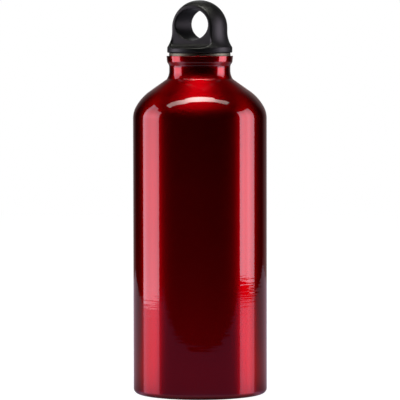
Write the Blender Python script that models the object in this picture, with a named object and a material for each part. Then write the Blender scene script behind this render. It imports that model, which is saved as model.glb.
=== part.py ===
"""Aluminium water bottle with a looped screw cap, as five separate pieces.

Lengths are in metres and angles in degrees, with +Z up. The origin is the centre of the
base, on the plane that the bottle stands on. The loop's hole runs along Y.
"""

import math

import bmesh
import bpy

# Bottle shell
SHELL_HEIGHT = 0.1774
BODY_RADIUS = 0.0351
WALL = 0.0007
BASE_WALL = 0.0010
BASE_CORNER_RADIUS = 0.00275
FOOT_WIDTH = 0.0030
FOOT_STEP_RADIUS = 0.0012
BASE_DOME_RISE = 0.0032
NECK_RADIUS = 0.01605
NECK_LENGTH = 0.0023
NECK_FILLET_RADIUS = 0.0066
SHOULDER_CROWN_RADIUS = 0.0255
SHOULDER_EDGE_RADIUS = 0.0127
SHOULDER_SLOPE = 55.0
SHOULDER_EDGE_SLOPE = 29.5

# Collar at the top of the shell, formed around the head of the neck ring
COLLAR_WALL = 0.00105
COLLAR_EDGE_RADIUS = 0.0009
COLLAR_BAND = 0.0030
COLLAR_TUCK = 0.0003
COLLAR_TAPER = 0.0029

# Neck ring: the drinking lip and the internal thread
LIP_HEIGHT = 0.0015
LIP_STEP = 0.00105
LIP_EDGE_RADIUS = 0.0004
RING_LENGTH = 0.0170
RING_WALL = 0.00225
RING_MOUTH_CHAMFER = 0.0006

# Screw thread shared by the neck ring and the stem
THREAD_PITCH = 0.0040
THREAD_HEIGHT = 0.0011
THREAD_ROOT_WIDTH = 0.0016
THREAD_CREST_WIDTH = 0.0009
THREAD_CLEARANCE = 0.0004
THREAD_END_MARGIN = 0.0012
THREAD_SINK = 0.0004
RING_THREAD_TURNS = 2.5
STEM_THREAD_TURNS = 2.0
THREAD_FADE_TURNS = 0.125

# Stem: the hollow plug that carries the external thread
STEM_LENGTH = 0.0190
STEM_WALL = 0.0018
STEM_FLOOR = 0.0016
STEM_TIP_CHAMFER = 0.0010

# Cap: flange, flared bell, loop and the spigot that holds the stem
CAP_HEIGHT = 0.0273
FLANGE_OVERHANG = 0.00097
FLANGE_CHAMFER_WIDTH = 0.00077
FLANGE_CHAMFER_HEIGHT = 0.0006
FLANGE_ROOF = 0.0010
FLARE_WIDTH = 0.00257
FLARE_RADIUS = 0.0150
LOOP_THICKNESS = 0.0160
LOOP_TOP_WALL = 0.00425
LOOP_SIDE_WALL = 0.0043
HOLE_SILL = 0.00365
HOLE_EDGE_RADIUS = 0.0005
POCKET_FILLET_RADIUS = 0.0032
POCKET_INSET = 0.0018
POCKET_STEP = 0.0001
SPIGOT_LENGTH = 0.0052
SPIGOT_WALL = 0.0022
CAP_ROOF = 0.0012
BEAD_HEIGHT = 0.00025
BEAD_LENGTH = 0.0014

# Sealing ring in the recess under the flange
SEAL_RECESS = 0.0015
SEAL_RIM_WIDTH = 0.0010
SEAL_EDGE = 0.00025

# Gap between pieces that touch, and how far a cutter runs past what it cuts
SEAT_GAP = 0.0003
CUT_OVERRUN = 0.0020

SHELL_SIDES = 56
CAP_SIDES = 48
RING_SIDES = 40

# Sizes that follow from the ones above
FOOT_OUTER_RADIUS = BODY_RADIUS - BASE_CORNER_RADIUS
FOOT_INNER_RADIUS = FOOT_OUTER_RADIUS - FOOT_WIDTH
NECK_BORE_RADIUS = NECK_RADIUS - WALL
RING_RADIUS = NECK_BORE_RADIUS - SEAT_GAP
LIP_RADIUS = RING_RADIUS + LIP_STEP
COLLAR_BORE_RADIUS = LIP_RADIUS + SEAT_GAP
COLLAR_RADIUS = COLLAR_BORE_RADIUS + COLLAR_WALL
RING_BORE_RADIUS = RING_RADIUS - RING_WALL
STEM_RADIUS = RING_BORE_RADIUS - THREAD_CLEARANCE - THREAD_HEIGHT
STEM_BORE_RADIUS = STEM_RADIUS - STEM_WALL
SPIGOT_RADIUS = STEM_BORE_RADIUS - SEAT_GAP
FLANGE_RADIUS = LIP_RADIUS + FLANGE_OVERHANG
FLANGE_RIM_RADIUS = FLANGE_RADIUS - FLANGE_CHAMFER_WIDTH
RECESS_RADIUS = FLANGE_RIM_RADIUS - SEAL_RIM_WIDTH
BELL_RADIUS = FLANGE_RADIUS - FLARE_WIDTH

# Heights of the cap, measured up from the underside of its flange
CAP_SEAT_HEIGHT = SHELL_HEIGHT + LIP_HEIGHT + SEAT_GAP
POCKET_FLOOR = SEAL_RECESS + FLANGE_ROOF
FLANGE_TOP = POCKET_FLOOR + POCKET_STEP
HOLE_BOTTOM = POCKET_FLOOR + HOLE_SILL
HOLE_TOP = CAP_HEIGHT - LOOP_TOP_WALL
STEM_TOP = SEAL_RECESS - SEAT_GAP
STEM_TIP = STEM_TOP - STEM_LENGTH
SPIGOT_TIP = SEAL_RECESS - SPIGOT_LENGTH


def clear_scene():
    """Remove every object that the new file holds."""
    for thing in list(bpy.data.objects):
        bpy.data.objects.remove(thing, do_unlink=True)


def make_material(name, colour, roughness, metallic):
    """A Principled BSDF material in one colour."""
    material = bpy.data.materials.new(name)
    material.use_nodes = True
    shader = material.node_tree.nodes["Principled BSDF"]
    shader.inputs["Base Color"].default_value = (*colour, 1.0)
    shader.inputs["Roughness"].default_value = roughness
    shader.inputs["Metallic"].default_value = metallic
    return material


def add_object(name, mesh_builder, material=None):
    """Turn a bmesh into a smooth-shaded object, with its faces pointing outwards."""
    bmesh.ops.recalc_face_normals(mesh_builder, faces=mesh_builder.faces)
    mesh = bpy.data.meshes.new(name)
    mesh_builder.to_mesh(mesh)
    mesh_builder.free()
    mesh.shade_smooth()
    mesh.set_sharp_from_angle(angle=math.radians(30.0))
    if material:
        mesh.materials.append(material)
    thing = bpy.data.objects.new(name, mesh)
    bpy.context.collection.objects.link(thing)
    return thing


def bridge(mesh_builder, first, second):
    """Join two rings of vertices with faces. A ring of one vertex is a pole."""
    count = max(len(first), len(second))
    for index in range(count):
        after = (index + 1) % count
        corners = [
            first[index % len(first)],
            first[after % len(first)],
            second[after % len(second)],
            second[index % len(second)],
        ]
        mesh_builder.faces.new(list(dict.fromkeys(corners)))


def lathe(name, outline, sides, material=None, is_ring=False):
    """Turn an outline of (radius, height) points about Z.

    A solid's outline starts and ends on the axis. A ring's outline closes on itself.
    """
    mesh_builder = bmesh.new()
    rings = []
    for radius, height in outline:
        if radius == 0:
            rings.append([mesh_builder.verts.new((0, 0, height))])
            continue
        angles = [math.tau * index / sides for index in range(sides)]
        points = [(radius * math.cos(turn), radius * math.sin(turn), height) for turn in angles]
        rings.append([mesh_builder.verts.new(point) for point in points])
    for first, second in zip(rings, rings[1:]):
        bridge(mesh_builder, first, second)
    if is_ring:
        bridge(mesh_builder, rings[-1], rings[0])
    return add_object(name, mesh_builder, material)


def loft(name, sections):
    """Join sections of equal point count into one closed body with flat ends."""
    mesh_builder = bmesh.new()
    rings = [[mesh_builder.verts.new(point) for point in section] for section in sections]
    for first, second in zip(rings, rings[1:]):
        bridge(mesh_builder, first, second)
    mesh_builder.faces.new(rings[0])
    mesh_builder.faces.new(rings[-1])
    tool = add_object(name, mesh_builder)
    tool.hide_render = True
    tool.display_type = "WIRE"
    return tool


def combine(thing, tool, operation):
    """Cut a tool out of an object, or join it on, and let the tool follow the object."""
    modifier = thing.modifiers.new(tool.name, "BOOLEAN")
    modifier.operation = operation
    modifier.solver = "EXACT"
    modifier.object = tool
    tool.parent = thing


def arc(centre, radius, start, end, steps):
    """Points on a circle in the (radius, height) plane, from one angle to another."""
    points = []
    for index in range(steps + 1):
        turn = math.radians(start + (end - start) * index / steps)
        points.append((centre[0] + radius * math.cos(turn), centre[1] + radius * math.sin(turn)))
    return points


def shoulder_outline(neck_radius, body_radius, inset):
    """The shoulder from the neck down to the straight wall.

    A hollow fillet leaves the neck, a straight cone follows, and then a wide and a tighter
    curve turn it into the wall. The inset moves the whole outline into the metal.
    """
    slope = math.radians(SHOULDER_SLOPE)
    edge_slope = math.radians(SHOULDER_EDGE_SLOPE)
    fillet = NECK_FILLET_RADIUS + inset
    edge = SHOULDER_EDGE_RADIUS - inset
    crown_spread = math.cos(edge_slope) - math.cos(slope)
    fixed_width = fillet * (1 - math.cos(slope)) + edge * (1 - math.cos(edge_slope))
    room = body_radius - neck_radius - fixed_width
    crown = min(SHOULDER_CROWN_RADIUS - inset, room / crown_spread)
    cone_length = (room - crown * crown_spread) / math.sin(slope)

    top = SHELL_HEIGHT - COLLAR_BAND - COLLAR_TAPER - NECK_LENGTH
    points = arc((neck_radius + fillet, top), fillet, 180.0, 180.0 + SHOULDER_SLOPE, 4)
    cone_start = points[-1]
    cone_end = (
        cone_start[0] + cone_length * math.sin(slope),
        cone_start[1] - cone_length * math.cos(slope),
    )
    crown_centre = (
        cone_end[0] - crown * math.cos(slope),
        cone_end[1] - crown * math.sin(slope),
    )
    points += arc(crown_centre, crown, SHOULDER_SLOPE, SHOULDER_EDGE_SLOPE, 5)
    edge_centre = (body_radius - edge, points[-1][1] - edge * math.sin(edge_slope))
    points += arc(edge_centre, edge, SHOULDER_EDGE_SLOPE, 0.0, 4)[1:]
    return points


def base_outline(body_radius, corner_radius, inset):
    """The base from the straight wall to the centre: corner, foot, step and raised dome."""
    floor = inset
    corner_centre = (body_radius - corner_radius, floor + corner_radius)
    points = arc(corner_centre, corner_radius, 0.0, -90.0, 4)
    step = FOOT_STEP_RADIUS
    step_centre = (FOOT_INNER_RADIUS + inset, floor + step)
    points += arc(step_centre, step, -90.0, -150.0, 3)
    rim_radius, rim_height = points[-1]
    for index in range(1, 4):
        share = index / 4
        points.append((rim_radius * (1 - share), rim_height + BASE_DOME_RISE * (1 - (1 - share) ** 2)))
    points.append((0, rim_height + BASE_DOME_RISE))
    return points


def make_bottle_shell():
    """The one-piece bottle, drawn from a slug of aluminium and lacquered."""
    band_bottom = SHELL_HEIGHT - COLLAR_BAND
    taper_bottom = band_bottom - COLLAR_TAPER
    edge_centre = (COLLAR_RADIUS - COLLAR_EDGE_RADIUS, SHELL_HEIGHT - COLLAR_EDGE_RADIUS)

    outside = arc(edge_centre, COLLAR_EDGE_RADIUS, 90.0, 0.0, 3)
    outside.append((COLLAR_RADIUS - COLLAR_TUCK, band_bottom))
    outside.append((NECK_RADIUS, taper_bottom))
    outside += shoulder_outline(NECK_RADIUS, BODY_RADIUS, 0)
    outside += base_outline(BODY_RADIUS, BASE_CORNER_RADIUS, 0)

    inside = [(COLLAR_BORE_RADIUS, SHELL_HEIGHT), (COLLAR_BORE_RADIUS, band_bottom)]
    inside.append((NECK_BORE_RADIUS, taper_bottom))
    inside += shoulder_outline(NECK_BORE_RADIUS, BODY_RADIUS - WALL, WALL)
    inside += base_outline(BODY_RADIUS - WALL, BASE_CORNER_RADIUS - WALL, BASE_WALL)

    lacquer = make_material("red_lacquer", (0.42, 0.003, 0.012), 0.18, 0.85)
    return lathe("bottle_shell", outside[::-1] + inside, SHELL_SIDES, lacquer)


def flank_half_width(height):
    """Half the thread ridge's width at a height above the surface that carries it."""
    narrowing = (THREAD_ROOT_WIDTH - THREAD_CREST_WIDTH) / THREAD_HEIGHT
    return (THREAD_ROOT_WIDTH - narrowing * height) / 2


def thread_ridge(name, surface_radius, outward, start_height, start_turn, turns):
    """A right-handed helical ridge that fades into its surface at both ends.

    The helix passes start_height at turn zero, and the ridge begins at start_turn. It grows
    away from the axis where outward is 1, and towards it where outward is -1.
    """
    steps = round(turns * RING_SIDES)
    fade_steps = max(1, round(THREAD_FADE_TURNS * RING_SIDES))
    first_step = round(start_turn * RING_SIDES)
    hidden = -THREAD_SINK / 2
    sections = []
    for index in range(steps + 1):
        fade = min(1.0, index / fade_steps, (steps - index) / fade_steps)
        crest = hidden + (THREAD_HEIGHT - hidden) * fade
        turn = (first_step + index) / RING_SIDES
        height = start_height + THREAD_PITCH * turn
        cosine = math.cos(math.tau * turn)
        sine = math.sin(math.tau * turn)
        section = []
        for rise, side in ((-THREAD_SINK, -1), (crest, -1), (crest, 1), (-THREAD_SINK, 1)):
            radius = surface_radius + outward * rise
            level = height + side * flank_half_width(rise)
            section.append((radius * cosine, radius * sine, level))
        sections.append(section)
    return loft(name, sections)


def ring_thread_start():
    """Height of the internal thread at turn zero, measured from the shell's top edge."""
    return LIP_HEIGHT - RING_LENGTH + THREAD_END_MARGIN + THREAD_ROOT_WIDTH / 2


def make_neck_ring():
    """The bare ring in the neck, with the drinking lip and the internal thread.

    Heights are measured from the top edge of the shell.
    """
    bottom = LIP_HEIGHT - RING_LENGTH
    outline = [(RING_BORE_RADIUS, LIP_HEIGHT - RING_MOUTH_CHAMFER)]
    outline.append((RING_BORE_RADIUS + RING_MOUTH_CHAMFER, LIP_HEIGHT))
    edge_centre = (LIP_RADIUS - LIP_EDGE_RADIUS, LIP_HEIGHT - LIP_EDGE_RADIUS)
    outline += arc(edge_centre, LIP_EDGE_RADIUS, 90.0, 0.0, 2)
    outline.append((LIP_RADIUS, -COLLAR_BAND))
    outline.append((RING_RADIUS, -COLLAR_BAND - COLLAR_TAPER))
    outline.append((RING_RADIUS, bottom))
    outline.append((RING_BORE_RADIUS, bottom))

    bare_metal = make_material("bare_aluminium", (0.62, 0.6, 0.56), 0.32, 1.0)
    ring = lathe("neck_ring", outline, RING_SIDES, bare_metal, is_ring=True)
    ridge = thread_ridge(
        "ring_thread", RING_BORE_RADIUS, -1, ring_thread_start(), 0, RING_THREAD_TURNS
    )
    combine(ring, ridge, "UNION")
    ring.location.z = SHELL_HEIGHT
    return ring


def make_cap_stem(plastic):
    """The hollow plug under the cap, with its closed tip and the external thread.

    Heights are measured from the underside of the flange, as for all of the cap.
    """
    bead_bottom = SPIGOT_TIP + BEAD_LENGTH / 2
    groove_radius = STEM_BORE_RADIUS + BEAD_HEIGHT
    outline = [(0, STEM_TIP), (STEM_RADIUS - STEM_TIP_CHAMFER, STEM_TIP)]
    outline.append((STEM_RADIUS, STEM_TIP + STEM_TIP_CHAMFER))
    outline.append((STEM_RADIUS, STEM_TOP))
    outline.append((STEM_BORE_RADIUS, STEM_TOP))
    outline += bead_outline(STEM_BORE_RADIUS, groove_radius, bead_bottom)
    outline.append((STEM_BORE_RADIUS, STEM_TIP + STEM_FLOOR))
    outline.append((0, STEM_TIP + STEM_FLOOR))
    stem = lathe("cap_stem", outline, RING_SIDES, plastic)

    # The external thread hangs under the internal one, one seat gap from its lower flank
    slant = THREAD_ROOT_WIDTH - THREAD_CREST_WIDTH
    flank_drop = (
        flank_half_width(0)
        + flank_half_width(THREAD_HEIGHT)
        - slant / 2 * THREAD_CLEARANCE / THREAD_HEIGHT
        + SEAT_GAP
    )
    start_height = ring_thread_start() - LIP_HEIGHT - SEAT_GAP - flank_drop
    lowest = STEM_TIP + STEM_TIP_CHAMFER + THREAD_ROOT_WIDTH
    start_turn = (lowest - start_height) / THREAD_PITCH
    ridge = thread_ridge("stem_thread", STEM_RADIUS, 1, start_height, start_turn, STEM_THREAD_TURNS)
    combine(stem, ridge, "UNION")
    return stem


def bead_outline(wall_radius, bead_radius, bottom):
    """A snap bead or its groove, from top to bottom, with a flat crest and sloped sides."""
    quarter = BEAD_LENGTH / 4
    return [
        (wall_radius, bottom + 4 * quarter),
        (bead_radius, bottom + 3 * quarter),
        (bead_radius, bottom + quarter),
        (wall_radius, bottom),
    ]


def pocket_cutter(name, side):
    """The scoop that flattens one face of the bell into the loop.

    Its floor meets the flat face and the side walls in one rounded fillet.
    """
    half_width = BELL_RADIUS - POCKET_INSET
    face = LOOP_THICKNESS / 2
    far = FLANGE_RADIUS + CUT_OVERRUN
    fillet = POCKET_FILLET_RADIUS
    levels = arc((fillet, POCKET_FLOOR + fillet), fillet, 270.0, 180.0, 6)
    levels.append((0, CAP_HEIGHT + CUT_OVERRUN))
    sections = []
    for inset, height in levels:
        half = half_width - inset
        near = side * (face + inset)
        sections.append(
            [
                (-half, near, height),
                (half, near, height),
                (half, side * far, height),
                (-half, side * far, height),
            ]
        )
    return loft(name, sections)


def hole_cutter():
    """The oval hole through the loop, with a rounded edge at both flat faces."""
    half_width = BELL_RADIUS - LOOP_SIDE_WALL
    half_height = (HOLE_TOP - HOLE_BOTTOM) / 2
    middle = (HOLE_TOP + HOLE_BOTTOM) / 2
    face = LOOP_THICKNESS / 2
    edge = HOLE_EDGE_RADIUS
    flare = arc((edge, face - edge), edge, 90.0, 180.0, 3)
    stations = [(edge, face + CUT_OVERRUN)] + flare
    stations += [(grow, -across) for grow, across in stations[::-1]]
    sections = []
    for grow, across in stations:
        section = []
        for index in range(CAP_SIDES):
            turn = math.tau * (index + 0.5) / CAP_SIDES
            x = (half_width + grow) * math.cos(turn)
            z = middle + (half_height + grow) * math.sin(turn)
            section.append((x, across, z))
        sections.append(section)
    return loft("loop_hole", sections)


def make_cap_body(plastic):
    """The outer cap: a bell with a round top, made into a loop by two scoops and a hole."""
    dome_centre = (0, CAP_HEIGHT - BELL_RADIUS)
    outline = [(0, CAP_HEIGHT)] + arc(dome_centre, BELL_RADIUS, 90.0, 0.0, 9)[1:]

    flare_share = 1 - FLARE_WIDTH / FLARE_RADIUS
    flare_angle = math.degrees(math.acos(flare_share))
    flare_height = FLARE_RADIUS * math.sin(math.radians(flare_angle))
    flare_centre = (BELL_RADIUS + FLARE_RADIUS, FLANGE_TOP + flare_height)
    outline += arc(flare_centre, FLARE_RADIUS, 180.0, 180.0 + flare_angle, 5)

    outline.append((FLANGE_RADIUS, FLANGE_CHAMFER_HEIGHT))
    outline.append((FLANGE_RIM_RADIUS, 0))
    outline.append((RECESS_RADIUS, 0))
    outline.append((RECESS_RADIUS, SEAL_RECESS))
    outline.append((SPIGOT_RADIUS, SEAL_RECESS))
    bead_bottom = SPIGOT_TIP + BEAD_LENGTH / 2
    outline += bead_outline(SPIGOT_RADIUS, SPIGOT_RADIUS + BEAD_HEIGHT, bead_bottom)
    core_radius = SPIGOT_RADIUS - SPIGOT_WALL
    outline.append((SPIGOT_RADIUS, SPIGOT_TIP))
    outline.append((core_radius, SPIGOT_TIP))
    outline.append((core_radius, POCKET_FLOOR - CAP_ROOF))
    outline.append((0, POCKET_FLOOR - CAP_ROOF))

    body = lathe("cap_body", outline, CAP_SIDES, plastic)
    combine(body, pocket_cutter("front_scoop", -1), "DIFFERENCE")
    combine(body, pocket_cutter("back_scoop", 1), "DIFFERENCE")
    combine(body, hole_cutter(), "DIFFERENCE")
    return body


def make_cap_seal():
    """The soft ring that the flange presses on the drinking lip."""
    inner = STEM_RADIUS + SEAT_GAP
    outer = RECESS_RADIUS - SEAT_GAP
    top = SEAL_RECESS - SEAT_GAP
    outline = [
        (inner, SEAL_EDGE),
        (inner + SEAL_EDGE, 0),
        (outer - SEAL_EDGE, 0),
        (outer, SEAL_EDGE),
        (outer, top - SEAL_EDGE),
        (outer - SEAL_EDGE, top),
        (inner + SEAL_EDGE, top),
        (inner, top - SEAL_EDGE),
    ]
    silicone = make_material("silicone", (0.09, 0.09, 0.095), 0.6, 0.0)
    return lathe("cap_seal", outline, RING_SIDES, silicone, is_ring=True)


def main():
    """Build the five pieces and hang the cap's three on the screw axis."""
    clear_scene()
    make_bottle_shell()
    make_neck_ring()

    cap_axis = bpy.data.objects.new("cap_axis", None)
    cap_axis.location.z = CAP_SEAT_HEIGHT
    bpy.context.collection.objects.link(cap_axis)
    plastic = make_material("black_plastic", (0.012, 0.012, 0.013), 0.38, 0.0)
    for piece in (make_cap_body(plastic), make_cap_stem(plastic), make_cap_seal()):
        piece.parent = cap_axis


main()
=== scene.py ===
"""Looks of the aluminium water bottle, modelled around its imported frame.

Lengths are in metres, angles in degrees, and +Z is up. The bottle stands on the origin, and
the hole of the cap's loop runs along Y. Places round the stage are given by an azimuth from
the camera's side, positive to the right, with a distance from the bottle's axis and a height.
"""

import math

import bmesh
import bpy
import numpy as np
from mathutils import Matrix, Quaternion, Vector


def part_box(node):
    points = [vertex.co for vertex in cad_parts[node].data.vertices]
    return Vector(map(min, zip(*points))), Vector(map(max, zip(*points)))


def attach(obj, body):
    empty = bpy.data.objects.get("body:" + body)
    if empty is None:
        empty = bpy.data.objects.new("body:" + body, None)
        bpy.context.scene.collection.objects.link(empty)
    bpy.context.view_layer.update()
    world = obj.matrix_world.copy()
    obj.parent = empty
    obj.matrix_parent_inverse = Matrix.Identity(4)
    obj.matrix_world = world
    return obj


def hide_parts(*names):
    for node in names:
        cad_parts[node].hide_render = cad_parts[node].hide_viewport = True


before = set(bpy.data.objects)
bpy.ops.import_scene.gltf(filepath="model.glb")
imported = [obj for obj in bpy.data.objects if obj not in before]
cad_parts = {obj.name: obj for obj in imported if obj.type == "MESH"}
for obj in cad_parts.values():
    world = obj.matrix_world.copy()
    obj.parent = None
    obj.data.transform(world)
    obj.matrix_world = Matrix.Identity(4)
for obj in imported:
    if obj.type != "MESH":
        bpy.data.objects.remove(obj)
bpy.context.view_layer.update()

# Sizes that the frame gives
SHELL_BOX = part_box("bottle_shell")
RING_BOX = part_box("neck_ring")
CAP_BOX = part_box("cap_body")
STEM_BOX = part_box("cap_stem")
SEAL_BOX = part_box("cap_seal")
SHELL_HEIGHT = SHELL_BOX[1].z
BODY_RADIUS = SHELL_BOX[1].x
LIP_RADIUS = RING_BOX[1].x
LIP_TOP = RING_BOX[1].z
RING_BOTTOM = RING_BOX[0].z
CAP_SEAT = SEAL_BOX[0].z
CAP_TOP = CAP_BOX[1].z
FLANGE_RADIUS = CAP_BOX[1].x
SPIGOT_TIP = CAP_BOX[0].z
STEM_TIP = STEM_BOX[0].z
STEM_TOP = STEM_BOX[1].z
SEAL_RADIUS = SEAL_BOX[1].x
SEAL_TOP = SEAL_BOX[1].z

# Bottle shell
WALL = 0.0007
BASE_WALL = 0.0010
BASE_CORNER_RADIUS = 0.00275
FOOT_WIDTH = 0.0030
FOOT_STEP_RADIUS = 0.0012
FOOT_STEP_TURN = 60.0
BASE_DOME_RISE = 0.0032
NECK_RADIUS = 0.01605
NECK_LENGTH = 0.0019
NECK_FILLET_RADIUS = 0.0080
NECK_BEND_RADIUS = 0.0013
NECK_BEND_SLOPE = 30.0
SHOULDER_CROWN_RADIUS = 0.0255
SHOULDER_EDGE_RADIUS = 0.0127
SHOULDER_SLOPE = 55.0
SHOULDER_EDGE_SLOPE = 29.5
COLLAR_WALL = 0.00105
COLLAR_EDGE_RADIUS = 0.00016
COLLAR_FOLD_RADIUS = 0.0026
UPPER_FOLD_DROP = 0.0003
LOWER_FOLD_RISE = 0.0008
COLLAR_BAND = 0.0030
COLLAR_TUCK = 0.0003
COLLAR_TAPER = 0.0029

# Neck ring and the screw thread that it shares with the stem
LIP_EDGE_RADIUS = 0.0003
RING_WALL = 0.00225
RING_MOUTH_CHAMFER = 0.0006
THREAD_PITCH = 0.0040
THREAD_HEIGHT = 0.0011
THREAD_ROOT_WIDTH = 0.0016
THREAD_CREST_WIDTH = 0.0009
THREAD_CLEARANCE = 0.0004
THREAD_END_MARGIN = 0.0012
RING_THREAD_TURNS = 2.5
STEM_THREAD_START = 0.375
STEM_THREAD_TURNS = 2.0
THREAD_FADE_TURNS = 0.125

# Cap, stem and seal
STEM_WALL = 0.0018
STEM_FLOOR = 0.0016
STEM_TIP_ROUNDING = 0.0010
FLANGE_EDGE_RADIUS = 0.0006
FLANGE_ROOF = 0.0010
FLARE_WIDTH = 0.00257
FLARE_RADIUS = 0.0150
FLARE_FOOT_RADIUS = 0.0008
LOOP_THICKNESS = 0.0160
LOOP_TOP_WALL = 0.0046
LOOP_SIDE_WALL = 0.0044
LOOP_EDGE_RADIUS = 0.0007
HOLE_SILL = 0.0039
HOLE_EDGE_RADIUS = 0.0004
POCKET_FILLET_RADIUS = 0.0032
POCKET_CORNER_RADIUS = 0.0012
POCKET_INSET = 0.0018
POCKET_STEP = 0.0001
SPIGOT_WALL = 0.0022
CAP_ROOF = 0.0012
SEAL_RECESS = 0.0015
SEAL_EDGE = 0.00025
SEAT_GAP = 0.0003
SEAL_LIFT = 0.00004
SKIRT_GAP = 0.00008

# Lacquer and the metal under it. Drops are measured down from the top of the collar. Where there
# are four of them, the effect is full between the middle two and fades towards the outer ones.
SHOULDER_DROPS = (0.0294, 0.0239, 0.0119, 0.0084)
SHOULDER_DULLING = 0.10
TAPER_DROPS = (0.0062, 0.0056, 0.0034, 0.0028)
TAPER_DULLING = 0.38
CONE_DROPS = (0.0182, 0.0174, 0.0134, 0.0122)
CONE_HAZE = 0.09
CONE_COAT_LOSS_SHARE = 0.75
CONE_FACINGS = (0.5, 0.75)
COAT_ROUGHNESS = 0.02
WAVE_HEIGHT = 0.00002
WAVE_END_DROPS = (0.0424, 0.0274)
CALM_SHARE = 0.15

# Painted shade: how much of the lacquer's colour is kept at each drop. It darkens the upper wall
# and the shoulder's edge most, standing in for how the lamps light each height.
PAINTED_SHADE_SHARES = (
    (0.1774, 0.89), (0.1424, 1.0), (0.1274, 0.98), (0.1074, 0.89), (0.0674, 0.82),
    (0.0324, 0.67), (0.0254, 0.64), (0.0194, 0.82), (0.0164, 0.99), (0.0129, 1.0),
    (0.0109, 0.87),
)

# How fine the meshes are
SHELL_SIDES = 192
RING_SIDES = 120
SMALL_ARC_STEPS = 6
LARGE_ARC_STEPS = 18
WALL_STEPS = 30
CAP_GRID = 0.00036
CAP_GRID_MARGIN = 2
SETTLE_PASSES = 3
LEAST_SQUARED_SLOPE = 0.25
PANEL_COLUMNS = 40
OVERHEAD_COLUMNS = 130
ROOM_COLUMNS = 120
TABLE_COLUMNS = 180
STAGE_ROWS = 24
SHARP_ANGLE = 35.0
CAP_SHARP_ANGLE = 60.0

# What is smaller than this counts as nothing
TINY = 1e-7

# Radii and heights that follow
COLLAR_BOTTOM = SHELL_HEIGHT - COLLAR_BAND
TAPER_BOTTOM = COLLAR_BOTTOM - COLLAR_TAPER
NECK_BORE_RADIUS = NECK_RADIUS - WALL
RING_RADIUS = NECK_BORE_RADIUS - SEAT_GAP
RING_BORE_RADIUS = RING_RADIUS - RING_WALL
COLLAR_BORE_RADIUS = LIP_RADIUS + SEAT_GAP
COLLAR_RADIUS = COLLAR_BORE_RADIUS + COLLAR_WALL
FOOT_INNER_RADIUS = BODY_RADIUS - BASE_CORNER_RADIUS - FOOT_WIDTH
STEM_RADIUS = RING_BORE_RADIUS - THREAD_CLEARANCE - THREAD_HEIGHT
STEM_BORE_RADIUS = STEM_RADIUS - STEM_WALL
SPIGOT_RADIUS = STEM_BORE_RADIUS - SEAT_GAP
RECESS_RADIUS = SEAL_RADIUS + SEAT_GAP
BELL_RADIUS = FLANGE_RADIUS - FLARE_WIDTH
POCKET_FLOOR = CAP_SEAT + SEAL_RECESS + FLANGE_ROOF
FLANGE_TOP = POCKET_FLOOR + POCKET_STEP
HOLE_BOTTOM = POCKET_FLOOR + HOLE_SILL
HOLE_TOP = CAP_TOP - LOOP_TOP_WALL
RING_THREAD_HEIGHT = RING_BOTTOM + THREAD_END_MARGIN + THREAD_ROOT_WIDTH / 2

# Camera, with its lens and sensor in millimetres
CAMERA_AZIMUTH = 33.0
CAMERA_DISTANCE = 1.66
CAMERA_HEIGHT = 0.198
CAMERA_AIM_HEIGHT = 0.1017
CAMERA_ROLL = -0.09
CAMERA_LENS = 284.9
CAMERA_SENSOR = 36.0

# Side panels. Glows are radiances, where 1 shows as white. Each curve is a row of (place, value)
# stops: these run over the azimuth, and those whose name says height run over the height.
LEFT_DISTANCE = 0.60
LEFT_TOPS = (
    (-112.2, 0.60), (-108.0, 0.612), (-100.0, 0.615), (-92.0, 0.61), (-89.0, 0.56),
    (-87.0, 0.505), (-84.0, 0.48), (-80.0, 0.46), (-73.0, 0.425),
)
LEFT_FEET = ((-112.2, -0.033), (-73.0, -0.033))
LEFT_GLOWS = (
    (-112.2, 2.8), (-108.0, 2.95), (-102.0, 2.6), (-96.0, 2.55), (-88.0, 2.95), (-80.0, 3.05),
    (-73.0, 2.9),
)
LEFT_HEIGHT_SHARES = (
    (0.0, 1.15), (0.06, 1.0), (0.13, 0.95), (0.23, 1.1), (0.32, 0.92), (0.40, 0.74), (0.63, 0.70),
)
RIGHT_DISTANCE = 0.66
RIGHT_TOPS = ((70.8, 0.485), (84.0, 0.487), (88.0, 0.495), (92.0, 0.518), (105.0, 0.545))
RIGHT_FEET = ((70.8, 0.0095), (84.0, 0.0085), (92.0, 0.0055), (105.0, 0.0055))
RIGHT_GLOWS = ((70.8, 4.0), (78.0, 3.95), (84.0, 3.35), (90.0, 4.0), (96.0, 3.2), (105.0, 2.5))
RIGHT_HEIGHT_SHARES = ((0.0, 1.0), (0.25, 0.97), (0.34, 0.88), (0.44, 0.72), (0.53, 0.62))
PANEL_COLOUR = (1.10, 0.96, 1.18)

# Overhead lamp, whose curves run from left to right
OVERHEAD_HEIGHT = 1.355
OVERHEAD_FRONTS = (
    (-1.06, 0.37), (-0.9, 0.345), (-0.7, 0.375), (-0.5, 0.41), (-0.4, 0.405), (-0.3, 0.362),
    (-0.1, 0.365), (0.1, 0.355), (0.2, 0.345), (0.4, 0.305), (0.6, 0.295), (0.83, 0.245),
)
OVERHEAD_BACKS = (
    (-1.06, 0.10), (-0.8, 0.075), (-0.6, 0.10), (-0.5, 0.12), (-0.37, 0.145), (-0.34, 0.085),
    (-0.2, 0.06), (0.0, 0.055), (0.34, 0.045), (0.37, 0.12), (0.5, 0.095), (0.7, 0.03),
    (0.83, 0.05),
)
OVERHEAD_GLOWS = (
    (-1.06, 4.4), (-0.9, 3.9), (-0.7, 4.2), (-0.6, 5.6), (-0.5, 7.1), (-0.4, 9.0), (-0.3, 11.8),
    (-0.2, 14.2), (-0.08, 16.5), (0.1, 14.5), (0.3, 10.0), (0.4, 7.3), (0.5, 4.8), (0.6, 3.9),
    (0.83, 3.3),
)
OVERHEAD_COLOUR = (1.0, 0.98, 0.92)
OVERHEAD_EDGE = 0.02

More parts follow.
